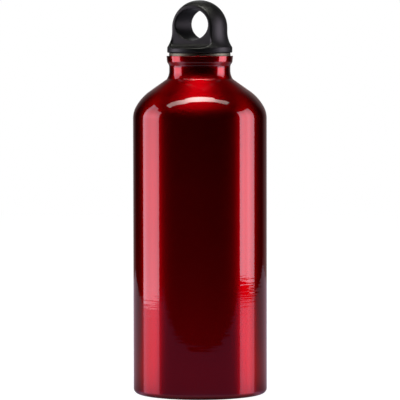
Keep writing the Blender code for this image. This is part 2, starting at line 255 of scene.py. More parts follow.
# Dark room. The backdrop's glows run over how far back a flag stands, from 0 to 1.
ROOM_RADIUS = 3.0
ROOM_FLOOR = -0.7
ROOM_CEILING = 3.5
ROOM_LAST_AZIMUTH = 172.0
FLAG_GLOW = 0.003
BACKDROP_TURN = 4.0
BACKDROP_GLOWS = ((0.76, 0.0), (0.87, 0.09), (0.98, 0.22))
BACKDROP_HEIGHT_SHARES = ((1.2, 1.0), (2.3, 0.2), (3.5, 0.0))

# Table, whose glow is painted reflection: it stands in for the lamps' light that a satin top would
# reflect. Its curves run over the azimuth to either side. The glow for steep looks has shares at
# the bottle's foot, near it, far from it and at the table's edge. Facings are 0 for a look
# straight down and 1 for one along the table.
TABLE_CORNERS = ((-0.59, 0.292), (0.60, 0.252), (0.61, -0.66), (-0.45, -0.70))
TABLE_RING_RADII = (0.03, 0.036, 0.045, 0.06, 0.085, 0.12, 0.15, 0.20)
TABLE_FRONT_GLOW = 0.09
TABLE_BACK_GLOW = 0.25
TABLE_GLOW_POWER = 2.2
TABLE_STEEP_GLOWS = (
    (0.0, 0.72), (55.0, 0.8), (70.0, 4.7), (88.0, 4.5), (96.0, 3.4), (108.0, 2.3), (130.0, 0.8),
    (180.0, 0.8),
)
TABLE_FOOT_SHARE = 0.2
TABLE_NEAR_SHARES = ((0.0, 1.2), (55.0, 1.1), (75.0, 0.25), (180.0, 0.25))
TABLE_FAR_SHARES = ((0.0, 0.55), (50.0, 0.45), (70.0, 0.05), (180.0, 0.05))
TABLE_EDGE_SHARES = (
    (0.0, 0.45), (50.0, 0.4), (70.0, 0.3), (90.0, 0.25), (100.0, 0.06), (180.0, 0.06),
)
TABLE_DOWN_SHARE = 0.12
TABLE_DOWN_FACINGS = (0.03, 0.13)
TABLE_FLAT_FACINGS = (0.4, 0.85)
TABLE_SHEENS = (0.04, 0.36)
TABLE_SHEEN_FACINGS = (0.6, 0.93)
TABLE_SHEEN_BLUE = 1.15
TABLE_BLUE = 1.2
TABLE_VIOLET = 2.1
TABLE_VIOLET_GLOWS = (0.102, 0.15)

# Floor and world
FLOOR_RADIUS = 1.5
FLOOR_GLOW = 0.95
FLOOR_GREY = 0.8
FLOOR_SHADOW_GREY = 0.22
AMBIENT_GLOW = 0.12
WHITE = (1.0, 1.0, 1.0, 1.0)


# Shapes


def arc(centre, radius, start, end, steps):
    """Points on a circle in the (radius, height) plane, from one angle to another."""
    points = []
    for index in range(steps + 1):
        turn = math.radians(start + (end - start) * index / steps)
        points.append((centre[0] + radius * math.cos(turn), centre[1] + radius * math.sin(turn)))
    return points


def soften(corners):
    """Replace each corner (radius, height, rounding) of an outline by a small arc.

    Points without a rounding stay as they are.
    """
    points = []
    neighbours = zip(corners[-1:] + corners[:-1], corners, corners[1:] + corners[:1])
    for before, corner, after in neighbours:
        here = Vector(corner[:2])
        if len(corner) == 2:
            points.append(tuple(here))
            continue
        back = (Vector(before[:2]) - here).normalized()
        ahead = (Vector(after[:2]) - here).normalized()
        half_angle = back.angle(ahead) / 2
        centre = here + (back + ahead).normalized() * corner[2] / math.sin(half_angle)
        reach = corner[2] / math.tan(half_angle)
        first = here + back * reach - centre
        last = here + ahead * reach - centre
        spread = math.pi - 2 * half_angle
        for index in range(SMALL_ARC_STEPS + 1):
            share = index / SMALL_ARC_STEPS
            weight_first = math.sin((1 - share) * spread) / math.sin(spread)
            weight_last = math.sin(share * spread) / math.sin(spread)
            points.append(tuple(centre + first * weight_first + last * weight_last))
    return points


def turned_ring(mesh_builder, radius, height, sides):
    """One ring of vertices about Z, or a single one on the axis."""
    if radius < TINY:
        return [mesh_builder.verts.new((0, 0, height))]
    angles = [math.tau * index / sides for index in range(sides)]
    return [
        mesh_builder.verts.new((radius * math.cos(turn), radius * math.sin(turn), height))
        for turn in angles
    ]


def bridge(mesh_builder, first, second, material_index=0):
    """Join two rings of vertices with faces. A ring of one vertex is a pole."""
    count = max(len(first), len(second))
    for index in range(count):
        after = (index + 1) % count
        corners = [
            first[index % len(first)],
            first[after % len(first)],
            second[after % len(second)],
            second[index % len(second)],
        ]
        face = mesh_builder.faces.new(list(dict.fromkeys(corners)))
        face.material_index = material_index


def lathe(mesh_builder, outline, sides, is_ring=False, inner_from=None):
    """Turn an outline about Z. Segments from the index inner_from take material 1."""
    rings = [turned_ring(mesh_builder, radius, height, sides) for radius, height in outline]
    for index, (first, second) in enumerate(zip(rings, rings[1:])):
        is_inner = inner_from is not None and index >= inner_from
        bridge(mesh_builder, first, second, int(is_inner))
    if is_ring:
        bridge(mesh_builder, rings[-1], rings[0])


def finish_mesh(name, mesh_builder, materials, sharp_angle=SHARP_ANGLE):
    """Merge what meets, shade it smooth, and put the piece into the scene."""
    bmesh.ops.remove_doubles(mesh_builder, verts=mesh_builder.verts, dist=TINY)
    bmesh.ops.recalc_face_normals(mesh_builder, faces=mesh_builder.faces)
    mesh = bpy.data.meshes.new(name)
    mesh_builder.to_mesh(mesh)
    mesh_builder.free()
    mesh.shade_smooth()
    mesh.set_sharp_from_angle(angle=math.radians(sharp_angle))
    for material in materials:
        mesh.materials.append(material)
    piece = bpy.data.objects.new(name, mesh)
    bpy.context.scene.collection.objects.link(piece)
    return piece


def take_place(piece, node, body):
    """Let a piece stand for its CAD node, on that node's body."""
    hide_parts(node)
    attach(piece, body)


# Bottle shell


def shoulder_outline(neck_radius, body_radius, inset):
    """The shoulder from the neck down to the straight wall, moved into the metal by inset."""
    slope = math.radians(SHOULDER_SLOPE)
    edge_slope = math.radians(SHOULDER_EDGE_SLOPE)
    bend_slope = math.radians(NECK_BEND_SLOPE)
    fillet = NECK_FILLET_RADIUS + inset
    bend = NECK_BEND_RADIUS + inset
    edge = SHOULDER_EDGE_RADIUS - inset
    crown_spread = math.cos(edge_slope) - math.cos(slope)
    fixed_width = fillet * (1 - math.cos(bend_slope)) + edge * (1 - math.cos(edge_slope))
    fixed_width += bend * (math.cos(bend_slope) - math.cos(slope))
    room = body_radius - neck_radius - fixed_width
    crown = min(SHOULDER_CROWN_RADIUS - inset, room / crown_spread)
    cone_length = (room - crown * crown_spread) / math.sin(slope)

    start = (neck_radius + fillet, TAPER_BOTTOM - NECK_LENGTH)
    points = arc(start, fillet, 180.0, 180.0 + NECK_BEND_SLOPE, LARGE_ARC_STEPS)
    bend_centre = (
        points[-1][0] + bend * math.cos(bend_slope),
        points[-1][1] + bend * math.sin(bend_slope),
    )
    bend_ends = (180.0 + NECK_BEND_SLOPE, 180.0 + SHOULDER_SLOPE)
    points += arc(bend_centre, bend, *bend_ends, LARGE_ARC_STEPS)[1:]
    cone_end = (
        points[-1][0] + cone_length * math.sin(slope),
        points[-1][1] - cone_length * math.cos(slope),
    )
    crown_centre = (
        cone_end[0] - crown * math.cos(slope),
        cone_end[1] - crown * math.sin(slope),
    )
    points += arc(crown_centre, crown, SHOULDER_SLOPE, SHOULDER_EDGE_SLOPE, LARGE_ARC_STEPS)
    edge_centre = (body_radius - edge, points[-1][1] - edge * math.sin(edge_slope))
    points += arc(edge_centre, edge, SHOULDER_EDGE_SLOPE, 0.0, LARGE_ARC_STEPS)[1:]
    return points


def base_outline(body_radius, corner_radius, inset):
    """The base from the straight wall to the centre: corner, foot, step and raised dome."""
    corner_centre = (body_radius - corner_radius, inset + corner_radius)
    points = arc(corner_centre, corner_radius, 0.0, -90.0, 2 * SMALL_ARC_STEPS)
    step_centre = (FOOT_INNER_RADIUS + inset, inset + FOOT_STEP_RADIUS)
    step_end = -90.0 - FOOT_STEP_TURN
    points += arc(step_centre, FOOT_STEP_RADIUS, -90.0, step_end, SMALL_ARC_STEPS)
    rim_radius, rim_height = points[-1]
    for index in range(1, LARGE_ARC_STEPS + 1):
        share = index / LARGE_ARC_STEPS
        rise = BASE_DOME_RISE * (1 - (1 - share) ** 2)
        points.append((rim_radius * (1 - share), rim_height + rise))
    return points


def wall_between(upper, lower):
    """Evenly spaced points down the straight wall, between the shoulder and the base."""
    points = []
    for index in range(1, WALL_STEPS):
        share = index / WALL_STEPS
        points.append((upper[0], upper[1] + (lower[1] - upper[1]) * share))
    return points


def make_shell():
    """The one-piece bottle: lacquered outside, with a lining inside."""
    shoulder = shoulder_outline(NECK_RADIUS, BODY_RADIUS, 0)
    base = base_outline(BODY_RADIUS, BASE_CORNER_RADIUS, 0)
    # The first and last of these points only steer the roundings beside them
    collar = soften([
        (COLLAR_BORE_RADIUS, SHELL_HEIGHT - COLLAR_EDGE_RADIUS),
        (COLLAR_BORE_RADIUS, SHELL_HEIGHT),
        (COLLAR_RADIUS, SHELL_HEIGHT, COLLAR_EDGE_RADIUS),
        (COLLAR_RADIUS - COLLAR_TUCK, COLLAR_BOTTOM - UPPER_FOLD_DROP, COLLAR_FOLD_RADIUS),
        (NECK_RADIUS, TAPER_BOTTOM + LOWER_FOLD_RISE, COLLAR_FOLD_RADIUS),
        shoulder[0],
    ])[1:-1]
    outside = collar + shoulder + wall_between(shoulder[-1], base[0]) + base

    inner_shoulder = shoulder_outline(NECK_BORE_RADIUS, BODY_RADIUS - WALL, WALL)
    inner_base = base_outline(BODY_RADIUS - WALL, BASE_CORNER_RADIUS - WALL, BASE_WALL)
    inside = [(COLLAR_BORE_RADIUS, COLLAR_BOTTOM), (NECK_BORE_RADIUS, TAPER_BOTTOM)]
    inside += inner_shoulder + wall_between(inner_shoulder[-1], inner_base[0]) + inner_base

    builder = bmesh.new()
    lathe(builder, outside[::-1] + inside, SHELL_SIDES, inner_from=len(outside) - 1)
    shell = finish_mesh("shell_surface", builder, [lacquer(), lining()])
    take_place(shell, "bottle_shell", "bottle")


# Screw thread


def threaded_wall(mesh_builder, wall_radius, outward, low, high, start_height, first_turn, turns):
    """A turned wall from low to high with a right-handed thread standing on it.

    The ridge passes start_height at turn zero and runs from first_turn for the given turns.
    It grows away from the axis where outward is 1, and towards it where outward is -1.
    """
    crest_half = THREAD_CREST_WIDTH / 2
    flank = (THREAD_ROOT_WIDTH - THREAD_CREST_WIDTH) / 2
    shares = [index / SMALL_ARC_STEPS for index in range(SMALL_ARC_STEPS + 1)]
    below = [(-crest_half - flank * (1 - share), share) for share in shares]
    above = [(crest_half + flank * share, 1 - share) for share in shares]
    stations = [(-THREAD_PITCH / 2, 0)] + below + above
    windings = range(
        math.floor((low - start_height) / THREAD_PITCH) - 1,
        math.ceil((high - start_height) / THREAD_PITCH) + 1,
    )
    columns = []
    for side in range(RING_SIDES):
        turn = side / RING_SIDES
        cosine, sine = math.cos(math.tau * turn), math.sin(math.tau * turn)
        column = []
        for winding in windings:
            progress = winding + turn - first_turn
            fade = min(progress, turns - progress) / THREAD_FADE_TURNS
            fade = max(0.0, min(1.0, fade))
            for offset, share in stations:
                height = start_height + THREAD_PITCH * (winding + turn) + offset
                rounded = share * share * (3 - 2 * share)
                radius = wall_radius + outward * THREAD_HEIGHT * rounded * fade
                level = max(low, min(high, height))
                column.append(mesh_builder.verts.new((radius * cosine, radius * sine, level)))
        columns.append(column)
    # The last column meets the first one a winding further up
    neighbours = columns[1:] + [columns[0][len(stations):]]
    for column, neighbour in zip(columns, neighbours):
        for row in range(len(neighbour) - 1):
            corners = [column[row], neighbour[row], neighbour[row + 1], column[row + 1]]
            levels = [corner.co.z for corner in corners]
            if max(levels) - min(levels) > TINY:
                mesh_builder.faces.new(corners)


def make_ring():
    """The bare neck ring, with the drinking lip above the collar and its internal thread."""
    mouth_low = LIP_TOP - RING_MOUTH_CHAMFER
    outline = soften([
        (RING_BORE_RADIUS, mouth_low),
        (RING_BORE_RADIUS + RING_MOUTH_CHAMFER, LIP_TOP, LIP_EDGE_RADIUS),
        (LIP_RADIUS, LIP_TOP, LIP_EDGE_RADIUS),
        (LIP_RADIUS, COLLAR_BOTTOM),
        (RING_RADIUS, TAPER_BOTTOM),
        (RING_RADIUS, RING_BOTTOM, LIP_EDGE_RADIUS),
        (RING_BORE_RADIUS, RING_BOTTOM),
    ])
    builder = bmesh.new()
    lathe(builder, outline, RING_SIDES)
    threaded_wall(
        builder, RING_BORE_RADIUS, -1, RING_BOTTOM, mouth_low, RING_THREAD_HEIGHT, 0,
        RING_THREAD_TURNS,
    )
    ring = finish_mesh("ring_surface", builder, [bare_aluminium()])
    take_place(ring, "neck_ring", "bottle")


def make_stem(plastic):
    """The hollow plug under the cap, with a closed tip and the external thread."""
    # The stem's ridge lies so far below the ring's that their flanks are the seat gap apart
    slant = THREAD_ROOT_WIDTH - THREAD_CREST_WIDTH
    flank_drop = (THREAD_ROOT_WIDTH + THREAD_CREST_WIDTH) / 2 + SEAT_GAP
    flank_drop -= slant / 2 * THREAD_CLEARANCE / THREAD_HEIGHT
    start_height = RING_THREAD_HEIGHT - flank_drop
    wall_low = STEM_TIP + STEM_TIP_ROUNDING
    outline = [(STEM_RADIUS, STEM_TOP), (STEM_BORE_RADIUS, STEM_TOP)]
    outline += [(STEM_BORE_RADIUS, STEM_TIP + STEM_FLOOR), (0, STEM_TIP + STEM_FLOOR)]
    tip_centre = (STEM_RADIUS - STEM_TIP_ROUNDING, wall_low)
    tip = [(0, STEM_TIP)] + arc(tip_centre, STEM_TIP_ROUNDING, -90.0, 0.0, SMALL_ARC_STEPS)
    builder = bmesh.new()
    lathe(builder, outline, RING_SIDES)
    lathe(builder, tip, RING_SIDES)
    threaded_wall(
        builder, STEM_RADIUS, 1, wall_low, STEM_TOP, start_height, STEM_THREAD_START,
        STEM_THREAD_TURNS,
    )
    stem = finish_mesh("stem_surface", builder, [plastic])
    take_place(stem, "cap_stem", "cap")


def make_seal():
    """The soft ring under the flange, with rounded edges."""
    inner = STEM_RADIUS + SEAT_GAP
    bottom = LIP_TOP + SEAL_LIFT
    outline = soften([
        (inner, bottom, SEAL_EDGE),
        (SEAL_RADIUS, bottom, SEAL_EDGE),
        (SEAL_RADIUS, SEAL_TOP, SEAL_EDGE),
        (inner, SEAL_TOP, SEAL_EDGE),
    ])
    builder = bmesh.new()
    lathe(builder, outline, RING_SIDES, is_ring=True)
    seal = finish_mesh("seal_surface", builder, [silicone()])
    take_place(seal, "cap_seal", "seal")


# Cap: a surface net round a field of signed distances, so that every edge is rounded


def outline_distance(points, outline):
    """Signed distance to a turned outline that starts and ends on the axis, negative inside."""
    nearest = np.full(len(points), np.inf)
    inside = np.zeros(len(points), bool)
    for (x0, y0), (x1, y1) in zip(outline, outline[1:]):
        edge = np.array((x1 - x0, y1 - y0))
        offset = points - (x0, y0)
        along = np.clip(offset @ edge / (edge @ edge), 0, 1)
        nearest = np.minimum(nearest, np.sum((offset - along[:, None] * edge) ** 2, axis=1))
        if y0 != y1:
            crosses = (y0 > points[:, 1]) != (y1 > points[:, 1])
            inside ^= crosses & (points[:, 0] < x0 + (points[:, 1] - y0) * (x1 - x0) / (y1 - y0))
    return np.where(inside, -1, 1) * np.sqrt(nearest)


def meet(first, second, rounding):
    """Distance to what two volumes share, with the edge between them rounded."""
    corner = np.hypot(np.maximum(first + rounding, 0), np.maximum(second + rounding, 0))
    return np.minimum(np.maximum(first, second), -rounding) + corner


def cap_outline():
    """The cap turned about Z, before its scoops and hole: bell, flare, flange and spigot."""
    dome_centre = (0, CAP_TOP - BELL_RADIUS)
    flare_angle = math.degrees(math.acos(1 - FLARE_WIDTH / FLARE_RADIUS))
    flare_height = FLARE_RADIUS * math.sin(math.radians(flare_angle))
    flare_centre = (BELL_RADIUS + FLARE_RADIUS, FLANGE_TOP + flare_height)
    flare = arc(flare_centre, FLARE_RADIUS, 180.0, 180.0 + flare_angle, LARGE_ARC_STEPS)
    roof = CAP_SEAT + SEAL_RECESS
    skirt = LIP_TOP + SKIRT_GAP
    core_radius = SPIGOT_RADIUS - SPIGOT_WALL
    corners = arc(dome_centre, BELL_RADIUS, 90.0, 0.0, 2 * LARGE_ARC_STEPS)
    corners += flare[:-1]
    corners += [
        (*flare[-1], FLARE_FOOT_RADIUS),
        (FLANGE_RADIUS, skirt, FLANGE_EDGE_RADIUS),
        (RECESS_RADIUS, skirt, SEAL_EDGE),
        (RECESS_RADIUS, roof),
        (SPIGOT_RADIUS, roof),
        (SPIGOT_RADIUS, SPIGOT_TIP, SEAL_EDGE),
        (core_radius, SPIGOT_TIP, SEAL_EDGE),
        (core_radius, POCKET_FLOOR - CAP_ROOF),
        (0, POCKET_FLOOR - CAP_ROOF),
    ]
    return soften(corners)


def cap_distance(points, outline):
    """Signed distance to the cap's surface, negative inside the plastic."""
    x, y, z = np.abs(points[:, 0]), np.abs(points[:, 1]), points[:, 2]
    bell = outline_distance(np.column_stack((np.hypot(x, y), z)), outline)
    side_wall = x - (BELL_RADIUS - POCKET_INSET)
    flat_face = LOOP_THICKNESS / 2 - y
    scoop = meet(side_wall, flat_face, POCKET_CORNER_RADIUS)
    scoop = meet(scoop, POCKET_FLOOR - z, POCKET_FILLET_RADIUS)
    # The hole is an ellipse, whose distance is worked out from its slope
    half_width = BELL_RADIUS - LOOP_SIDE_WALL
    half_height = (HOLE_TOP - HOLE_BOTTOM) / 2
    across = x / half_width
    along = (z - (HOLE_TOP + HOLE_BOTTOM) / 2) / half_height
    reach = np.hypot(across, along)
    steepness = np.hypot(across / half_width, along / half_height)
    hole = reach * (reach - 1) / np.maximum(steepness, TINY)
    return meet(meet(bell, -scoop, LOOP_EDGE_RADIUS), -hole, HOLE_EDGE_RADIUS)


def surface_net(values, low, step):
    """Vertices and quads of the surface on which a grid of signed distances is zero.

    Each cell that the surface crosses gets one vertex, at the mean of its edges' crossings, and
    each crossed edge of the grid gets a quad between the four cells round it.
    """
    inside = values < 0
    corners = [np.array((i, j, k)) for i in (0, 1) for j in (0, 1) for k in (0, 1)]
    shape = np.array(values.shape) - 1
    filled = sum(
        inside[a:a + shape[0], b:b + shape[1], c:c + shape[2]].astype(int) for a, b, c in corners
    )
    cells = np.argwhere((filled > 0) & (filled < len(corners)))
    number = np.full(shape, -1)
    number[tuple(cells.T)] = np.arange(len(cells))
    total = np.zeros((len(cells), 3))
    crossings = np.zeros(len(cells))
    for first in corners:
        for second in corners:
            if tuple(second) <= tuple(first) or abs(second - first).sum() != 1:
                continue
            start = values[tuple((cells + first).T)]
            end = values[tuple((cells + second).T)]
            crosses = (start < 0) != (end < 0)
            share = start[crosses] / (start[crosses] - end[crosses])
            total[crosses] += first + (second - first) * share[:, None]
            crossings[crosses] += 1
    vertices = low + step * (cells + total / crossings[:, None])
    quads = []
    for axis in range(3):
        ahead = np.zeros(3, int)
        ahead[axis] = 1
        u, v = np.roll(ahead, 1), np.roll(ahead, 2)
        ends = np.array(values.shape) - ahead
        near = inside[:ends[0], :ends[1], :ends[2]]
        far = inside[ahead[0]:, ahead[1]:, ahead[2]:]
        edges = np.argwhere(near != far)
        around = [number[tuple((edges - shift).T)] for shift in (0 * u, u, u + v, v)]
        rows = np.column_stack(around)
        leaves = near[tuple(edges.T)]
        rows[~leaves] = rows[~leaves][:, ::-1]
        quads.append(rows)
    return vertices, np.vstack(quads)


def settle(points, distance, step):
    """Move points along the field's slope until they lie on the surface."""
    for _ in range(SETTLE_PASSES):
        here = distance(points)
        slope = np.empty_like(points)
        for axis in range(3):
            shift = np.zeros(3)
            shift[axis] = step
            slope[:, axis] = (distance(points + shift) - distance(points - shift)) / (2 * step)
        squared_slope = np.maximum(np.sum(slope ** 2, axis=1), LEAST_SQUARED_SLOPE)
        points = points - slope * (here / squared_slope)[:, None]
    return points


def make_cap(plastic):
    """The moulded cap with its loop, meshed on one quarter's distances and mirrored."""
    outline = cap_outline()

    def distance(points):
        return cap_distance(points, outline)

    reach = math.ceil(FLANGE_RADIUS / CAP_GRID) + CAP_GRID_MARGIN
    across = np.arange(reach + 1) * CAP_GRID
    bottom = SPIGOT_TIP - CAP_GRID_MARGIN * CAP_GRID
    levels = np.arange(bottom, CAP_TOP + (CAP_GRID_MARGIN + 1) * CAP_GRID, CAP_GRID)
    grid = np.stack(np.meshgrid(across, across, levels, indexing="ij"), axis=-1)
    values = distance(grid.reshape(-1, 3)).reshape(grid.shape[:3])
    values = np.concatenate((values[:0:-1], values), axis=0)
    values = np.concatenate((values[:, :0:-1], values), axis=1)
    low = np.array((-reach * CAP_GRID, -reach * CAP_GRID, levels[0]))
    vertices, quads = surface_net(values, low, CAP_GRID)
    vertices = settle(vertices, distance, CAP_GRID / 20)

    mesh = bpy.data.meshes.new("cap_surface")
    mesh.from_pydata(vertices.tolist(), [], quads.tolist())
    builder = bmesh.new()
    builder.from_mesh(mesh)
    bpy.data.meshes.remove(mesh)
    cap = finish_mesh("cap_surface", builder, [plastic], CAP_SHARP_ANGLE)
    take_place(cap, "cap_body", "cap")


# Materials


class Graph:
    """Adds nodes to a tree and links their sockets by name."""

    def __init__(self, tree):
        self.tree = tree

    def fill(self, node, inputs):
        """Link or set the inputs of a node."""
        for name, value in inputs.items():
            if isinstance(value, bpy.types.NodeSocket):
                self.tree.links.new(value, node.inputs[name])
            else:
                node.inputs[name].default_value = value

    def add(self, kind, inputs=None, **settings):
        """A new node with its settings and inputs."""
        node = self.tree.nodes.new(kind)
        for name, value in settings.items():
            setattr(node, name, value)
        self.fill(node, inputs or {})
        return node

    def place(self):
        """Where a point of the surface lies, in metres."""
        return self.add("ShaderNodeTexCoord").outputs["Object"]

    def height(self):
        """The height of a point of the surface."""
        return self.add("ShaderNodeSeparateXYZ", {"Vector": self.place()}).outputs["Z"]

    def facing(self):
        """From 0, where a surface is seen square on, to 1, where it is seen edge on."""
        return self.add("ShaderNodeLayerWeight", {"Blend": 0.5}).outputs["Facing"]

    def mesh_value(self, name):
        """A value that the points of the mesh carry."""
        return self.add("ShaderNodeAttribute", attribute_name=name).outputs["Fac"]

    def noise(self, scale, detail, upward_scale=None):
        """Noise through the piece, which may have a scale of its own along Z."""
        scales = (scale, scale, upward_scale or scale)
        moved = self.add("ShaderNodeMapping", {"Vector": self.place(), "Scale": scales})
        inputs = {"Vector": moved.outputs["Vector"], "Scale": 1.0, "Detail": detail}
        return self.add("ShaderNodeTexNoise", inputs).outputs["Fac"]

    def arithmetic(self, operation, first, second):
        """The sum, difference, product or quotient of two values."""
        return self.add("ShaderNodeMath", {0: first, 1: second}, operation=operation).outputs[0]

    def between(self, value, low, high, from_low=0.3, from_high=0.7):
        """Map a value, such as the usual spread of a noise, to the range from low to high."""
        mapped = self.add(
            "ShaderNodeMapRange",
            {
                "Value": value,
                "From Min": from_low,
                "From Max": from_high,
                "To Min": low,
                "To Max": high,
            },
        )
        return mapped.outputs["Result"]

    def band(self, value, amount, places):
        """The amount between the two middle places of four, and none beyond the outer ones."""
        risen = self.between(value, 0.0, amount, *places[:2])
        fallen = self.between(value, 0.0, amount, *places[2:])
        return self.arithmetic("SUBTRACT", risen, fallen)

    def grey_curve(self, value, stops):
        """A grey that runs straight from each (value, grey) stop to the next, as a colour."""
        reach = stops[-1][0]
        curve = self.add("ShaderNodeValToRGB", {"Fac": self.arithmetic("DIVIDE", value, reach)})
        elements = curve.color_ramp.elements
        while len(elements) < len(stops):
            elements.new(0.5)
        for element, (stop, grey) in zip(elements, stops):
            element.position = stop / reach
            element.color = (grey, grey, grey, 1.0)
        return curve.outputs["Color"]

    def mix(self, blend_type, factor, first, second):
        """Two colours in one. A mix node's colour sockets are found by number."""
        inputs = {"Factor": factor, 6: first, 7: second}
        return self.add("ShaderNodeMix", inputs, data_type="RGBA", blend_type=blend_type).outputs[2]

    def blend(self, factor, first, second):
        """A colour between two, given as red, green and blue."""
        return self.mix("MIX", factor, (*first, 1.0), (*second, 1.0))

    def product(self, first, second):
        """The product of two colours."""
        return self.mix("MULTIPLY", 1.0, first, second)

    def bump(self, height, distance, strength=1.0):
        """A surface normal from a pattern whose full height is the distance."""
        bump = self.add(
            "ShaderNodeBump", {"Height": height, "Distance": distance, "Strength": strength}
        )
        return bump.outputs["Normal"]

    def matt(self, grey):
        """A shader for a plain grey surface."""
        return self.add("ShaderNodeBsdfDiffuse", {"Color": (grey, grey, grey, 1.0)}).outputs[0]

    def light(self, colour, strength):
        """A shader that gives light."""
        return self.add("ShaderNodeEmission", {"Color": colour, "Strength": strength}).outputs[0]

    def both(self, first, second):
        """The sum of two shaders."""
        return self.add("ShaderNodeAddShader", {0: first, 1: second}).outputs[0]


def new_material(name):
    """A material with its node helper and its Principled shader."""
    material = bpy.data.materials.new(name)
    material.use_nodes = True
    return material, Graph(material.node_tree), material.node_tree.nodes["Principled BSDF"]


def heights_at(drops):
    """Heights that lie so far below the top of the collar."""
    return [SHELL_HEIGHT - drop for drop in drops]


def lacquer():
    """Clear red lacquer over drawn aluminium, whose grain runs round the bottle.

    The metal is duller on the shoulder and on the collar's taper. The cone's top coat is hazy,
    and weak where it is seen square on. The coat's waves calm down towards the shoulder.
    """
    material, graph, shader = new_material("red_lacquer")
    tone = graph.noise(30.0, detail=3.0)
    grain = graph.noise(60.0, detail=1.0, upward_scale=9000.0)
    waves = graph.noise(45.0, detail=1.5, upward_scale=650.0)
    height = graph.height()
    colour = graph.blend(tone, (0.315, 0.0, 0.0022), (0.347, 0.0, 0.0028))
    # Painted shade: the lacquer's colour is darkened by height, as the lamps would shade it
    stops = [(SHELL_HEIGHT - drop, share) for drop, share in PAINTED_SHADE_SHARES]
    painted_shade = graph.grey_curve(height, stops)
    shoulder = graph.band(height, SHOULDER_DULLING, heights_at(SHOULDER_DROPS))
    taper = graph.band(height, TAPER_DULLING, heights_at(TAPER_DROPS))
    dulling = graph.arithmetic("ADD", shoulder, taper)
    drawn = graph.between(grain, 0.332, 0.357)
    haze = graph.band(height, CONE_HAZE, heights_at(CONE_DROPS))
    loss = graph.band(height, CONE_COAT_LOSS_SHARE, heights_at(CONE_DROPS))
    kept = graph.arithmetic("SUBTRACT", 1.0, loss)
    calm = graph.between(height, 1.0, CALM_SHARE, *heights_at(WAVE_END_DROPS))
    tangent = graph.add("ShaderNodeTangent", direction_type="RADIAL", axis="Z")
    graph.fill(shader, {
        "Base Color": graph.product(colour, painted_shade),
        "Metallic": 1.0,
        "Specular Tint": (1.0, 0.0, 0.02, 1.0),
        "Roughness": graph.arithmetic("ADD", drawn, dulling),
        "Anisotropic": 0.755,
        "Anisotropic Rotation": 0.25,
        "Tangent": tangent.outputs["Tangent"],
        "Coat Weight": graph.between(graph.facing(), kept, 1.0, *CONE_FACINGS),
        "Coat Roughness": graph.arithmetic("ADD", haze, COAT_ROUGHNESS),
        "Coat IOR": 1.5,
        "Coat Normal": graph.bump(waves, WAVE_HEIGHT, calm),
    })
    return material


def lining():
    """The satin lacquer inside the bottle."""
    material, graph, shader = new_material("inner_lining")
    tone = graph.noise(80.0, detail=4.0)
    graph.fill(shader, {
        "Base Color": graph.blend(tone, (0.50, 0.40, 0.22), (0.58, 0.47, 0.27)),
        "Metallic": 0.6,
        "Roughness": graph.between(tone, 0.34, 0.46),
    })
    return material


def bare_aluminium():
    """Turned aluminium with fine grooves round its axis."""
    material, graph, shader = new_material("bare_aluminium")
    flat = graph.add(
        "ShaderNodeVectorMath", {0: graph.place(), 1: (1.0, 1.0, 0.0)}, operation="MULTIPLY"
    )
    radius = graph.add("ShaderNodeVectorMath", {0: flat.outputs[0]}, operation="LENGTH")
    turned = graph.add(
        "ShaderNodeCombineXYZ", {"X": radius.outputs["Value"], "Z": graph.height()}
    )
    grooves = graph.add(
        "ShaderNodeTexNoise", {"Vector": turned.outputs[0], "Scale": 7000.0, "Detail": 2.0}
    ).outputs["Fac"]
    graph.fill(shader, {
        "Base Color": graph.blend(grooves, (0.190, 0.188, 0.128), (0.230, 0.228, 0.155)),
        "Metallic": 1.0,
        "Roughness": graph.between(grooves, 0.46, 0.54),
        "Normal": graph.bump(grooves, 0.000004),
    })
    return material


def black_plastic():
    """Moulded polypropylene with a faint satin grain."""
    material, graph, shader = new_material("black_plastic")
    grain = graph.noise(2600.0, detail=2.0)
    flow = graph.noise(120.0, detail=3.0)
    graph.fill(shader, {
        "Base Color": graph.blend(flow, (0.002, 0.002, 0.002), (0.004, 0.004, 0.004)),
        "Roughness": graph.between(flow, 0.40, 0.48),
        "Specular IOR Level": 0.42,
        "Specular Tint": (0.98, 1.0, 0.94, 1.0),
        "Normal": graph.bump(grain, 0.000008),
    })
    return material


def silicone():
    """Soft grey silicone with a dull skin."""
    material, graph, shader = new_material("grey_silicone")
    skin = graph.noise(900.0, detail=3.0)
    graph.fill(shader, {
        "Base Color": graph.blend(skin, (0.26, 0.26, 0.27), (0.32, 0.32, 0.33)),
        "Roughness": graph.between(skin, 0.5, 0.62),
        "Normal": graph.bump(skin, 0.00001),
    })
    return material


# Stage: seen by the camera as a white floor, and by the surfaces as a dark studio


def stage_point(azimuth, distance, height):
    """A point by its azimuth from the camera's side, positive to the right."""
    turn = math.radians(CAMERA_AZIMUTH + azimuth)
    return Vector((distance * math.sin(turn), -distance * math.cos(turn), height))


def stage_offset(right, near, height):
    """A point to the right of the axis and towards the camera, as the camera sees it."""
    return stage_point(math.degrees(math.atan2(right, near)), math.hypot(right, near), height)


def square(reach, height):
    """The corners of a level square round the axis, as two columns of points."""
    places = (-reach, reach)
    return [[stage_offset(right, near, height) for near in places] for right in places]


def stage_grid(name, columns, material, seen_by, values=None):
    """A floor, lamp or flag from columns of points, seen only by the named kinds of ray.

    The values are named too, with one for each point, in columns like the points.
    """
    rows = len(columns[0])
    points = [point for column in columns for point in column]
    faces = []
    for column in range(len(columns) - 1):
        for row in range(rows - 1):
            first = column * rows + row
            faces.append((first, first + 1, first + rows + 1, first + rows))
    mesh = bpy.data.meshes.new(name)
    mesh.from_pydata(points, [], faces)
    mesh.materials.append(material)
    for kind, value_columns in (values or {}).items():
        layer = mesh.attributes.new(kind, "FLOAT", "POINT")
        layer.data.foreach_set("value", [value for column in value_columns for value in column])
    card = bpy.data.objects.new(name, mesh)
    bpy.context.scene.collection.objects.link(card)
    for kind in ("camera", "diffuse", "glossy", "transmission", "shadow"):
        setattr(card, f"visible_{kind}", kind in seen_by)


